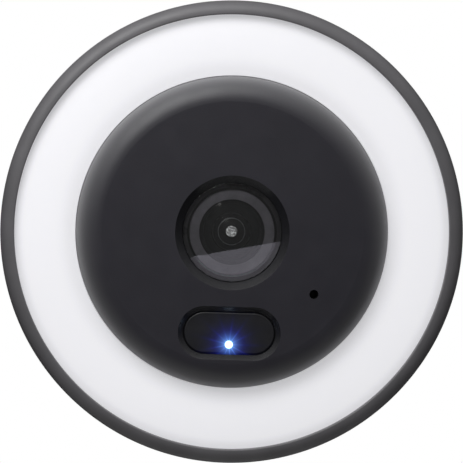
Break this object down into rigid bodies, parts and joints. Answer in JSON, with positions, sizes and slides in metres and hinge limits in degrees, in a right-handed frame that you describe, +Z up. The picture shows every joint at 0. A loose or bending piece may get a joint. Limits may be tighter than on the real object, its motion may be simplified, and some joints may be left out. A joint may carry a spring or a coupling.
{
  "type": "video doorbell",
  "caption": "Round wall-mounted video doorbell with a camera behind a flat window, a light ring, a pill-shaped bell button and a twist-lock wall plate.",
  "frame": {"origin": "centre of the wall plate's rear face, on the wall plane", "axes": "+Z up, -Y out of the wall towards the visitor, +X to the right as the visitor sees it"},
  "size_m": [0.092, 0.033, 0.092],
  "materials": {
    "plate_plastic": "satin",
    "housing_plastic": "fine texture",
    "dark_screw": "black oxide",
    "seal_rubber": "soft",
    "frame_plastic": "satin",
    "bezel_plastic": "satin",
    "spreader_aluminium": "plain",
    "white_board": "white solder mask",
    "led_white": "lens",
    "reflector_white": "white",
    "diffuser_white": "translucent white",
    "cover_plastic": "fine texture",
    "window_glass": "clear",
    "tape_black": "foam tape",
    "button_plastic": "gloss",
    "light_pipe": "clear",
    "board_black": "black solder mask",
    "screw_steel": "plain",
    "switch_case": "plain",
    "switch_plunger": "plain",
    "status_led": "lens",
    "microphone_can": "gold",
    "boot_rubber": "soft",
    "barrel_black": "black anodised",
    "retainer_ring": "grey anodised",
    "lens_glass": "coated",
    "stop_black": "black",
    "rear_glass": "coated",
    "holder_plastic": "plain",
    "carrier_plastic": "plain",
    "ir_pane": "coated",
    "clear_pane": "clear",
    "coil_copper": "enamelled wire",
    "sensor_face": "sensor",
    "board_green": "green solder mask",
    "screw_steel_2": "plain",
    "flex_amber": "polyimide film",
    "board_green_2": "green solder mask",
    "shield_tin": "tinned",
    "module_shield": "tinned",
    "capacitor_sleeve": "sleeve",
    "inductor_ferrite": "ferrite",
    "plug_white": "plain",
    "screw_steel_3": "plain",
    "terminal_brass": "plain",
    "terminal_steel": "nickel",
    "reset_rubber": "plain",
    "reset_case": "plain",
    "vent_film": "film",
    "antenna_copper": "copper film",
    "speaker_plastic": "plain",
    "magnet_nickel": "nickel",
    "cone_film": "film",
    "gasket_foam": "foam",
    "wire_red": "sleeve",
    "wire_white": "sleeve",
    "flex_amber_2": "polyimide film",
    "screw_steel_4": "plain",
    "screw_steel_5": "plain"
  },
  "bodies": {
    "wall_plate": {"wall_plate": "plate_plastic"},
    "housing": {"rear_housing": "housing_plastic", "security_screw": "dark_screw", "housing_seal": "seal_rubber", "mid_frame": "frame_plastic", "outer_bezel": "bezel_plastic", "heat_spreader": "spreader_aluminium", "led_board": "white_board", "ring_leds": "led_white", "light_reflector": "reflector_white", "ring_diffuser": "diffuser_white", "camera_cover": "cover_plastic", "window_glass": "window_glass", "window_tape": "tape_black", "front_board": "board_black", "front_board_screws": "screw_steel", "switch_body": "switch_case", "status_led": "status_led", "microphone": "microphone_can", "mic_boot": "boot_rubber", "lens_barrel": "barrel_black", "lens_retainer": "retainer_ring", "lens_front_element": "lens_glass", "lens_stop": "stop_black", "lens_rear_element": "rear_glass", "lens_holder": "holder_plastic", "filter_coil": "coil_copper", "image_sensor": "sensor_face", "camera_board": "board_green", "camera_screws": "screw_steel_2", "camera_flex": "flex_amber", "main_board": "board_green_2", "processor_shield": "shield_tin", "wifi_module": "module_shield", "supercapacitors": "capacitor_sleeve", "power_inductor": "inductor_ferrite", "board_connectors": "plug_white", "board_screws": "screw_steel_3", "terminal_posts": "terminal_brass", "terminal_screws": "terminal_steel", "reset_switch": "reset_case", "vent_membrane": "vent_film", "antenna": "antenna_copper", "speaker_frame": "speaker_plastic", "speaker_magnet": "magnet_nickel", "speaker_cone": "cone_film", "speaker_gasket": "gasket_foam", "speaker_wires": "wire_red", "led_wires": "wire_white", "front_flex": "flex_amber_2", "housing_screws": "screw_steel_4", "face_screws": "screw_steel_5"},
    "bell_button": {"bell_button": "button_plastic", "button_light_pipe": "light_pipe"},
    "switch_plunger": {"switch_plunger": "switch_plunger"},
    "filter_carrier": {"filter_carrier": "carrier_plastic", "ir_filter_pane": "ir_pane", "clear_pane": "clear_pane"},
    "reset_button": {"reset_button": "reset_rubber"}
  },
  "joints": [
    {"name": "unit_twist", "type": "hinge", "parent": "wall_plate", "child": "housing", "pos_m": [0, 0, 0], "axis": [0, -1, 0], "range_deg": [0, 31]},
    {"name": "bell_press", "type": "slide", "parent": "housing", "child": "bell_button", "axis": [0, 1, 0], "range_m": [0, 0.0006], "stiffness_N_per_m": 2500, "springref_m": -0.0002},
    {"name": "bell_switch_press", "type": "slide", "parent": "housing", "child": "switch_plunger", "axis": [0, 1, 0], "range_m": [0, 0.0006]},
    {"name": "ir_filter_shift", "type": "slide", "parent": "housing", "child": "filter_carrier", "axis": [1, 0, 0], "range_m": [0, 0.0064]},
    {"name": "reset_press", "type": "slide", "parent": "housing", "child": "reset_button", "axis": [0, -1, 0], "range_m": [0, 0.00045], "stiffness_N_per_m": 1500, "springref_m": -0.0002}
  ],
  "couplings": [
    {"joint": "bell_switch_press", "follows": "bell_press", "ratio": 1}
  ]
}
